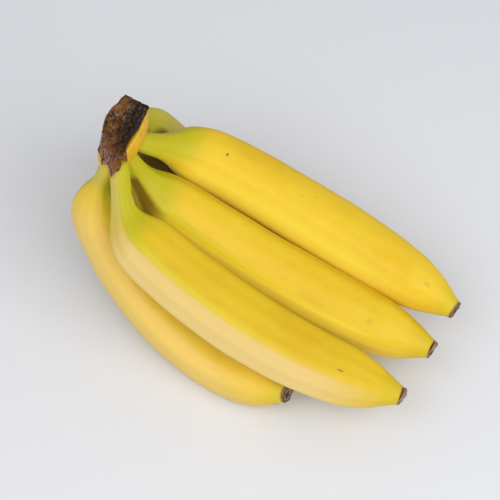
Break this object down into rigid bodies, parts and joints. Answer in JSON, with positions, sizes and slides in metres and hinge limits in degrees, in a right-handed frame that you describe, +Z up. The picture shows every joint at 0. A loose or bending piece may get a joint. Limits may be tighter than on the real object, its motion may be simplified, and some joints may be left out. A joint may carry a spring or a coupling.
{
  "type": "bunch of bananas",
  "caption": "Small hand of ripe yellow bananas joined at a dried, cut crown, resting on its outer fingers with the crown raised and every tip ending in a dark dried stub.",
  "frame": {"origin": "centre of the bounding box's underside, on the table the bunch lies on", "axes": "+X from the crown to the fruit tips, the longest extent; +Z up from the table; +Y completes the right-handed set"},
  "size_m": [0.2094, 0.1304, 0.121],
  "materials": {
    "skin_outer": "satin ripe skin, paler bloom",
    "skin_front": "satin ripe skin, pale on the near side",
    "skin_middle": "satin ripe skin",
    "skin_upper": "satin ripe skin",
    "skin_hidden": "satin skin, greener",
    "dried_tip": "dry and rough",
    "crown_skin": "satin skin of the crown",
    "crown_cut": "dried, fibrous cut"
  },
  "bodies": {
    "root": {"banana_1": "skin_outer", "banana_2": "skin_front", "banana_3": "skin_middle", "banana_4": "skin_upper", "banana_5": "skin_hidden", "blossom_end_1": "dried_tip", "blossom_end_2": "dried_tip", "blossom_end_3": "dried_tip", "blossom_end_4": "dried_tip", "blossom_end_5": "dried_tip", "crown_pad": "crown_skin", "crown_scar": "crown_cut"}
  },
  "joints": []
}
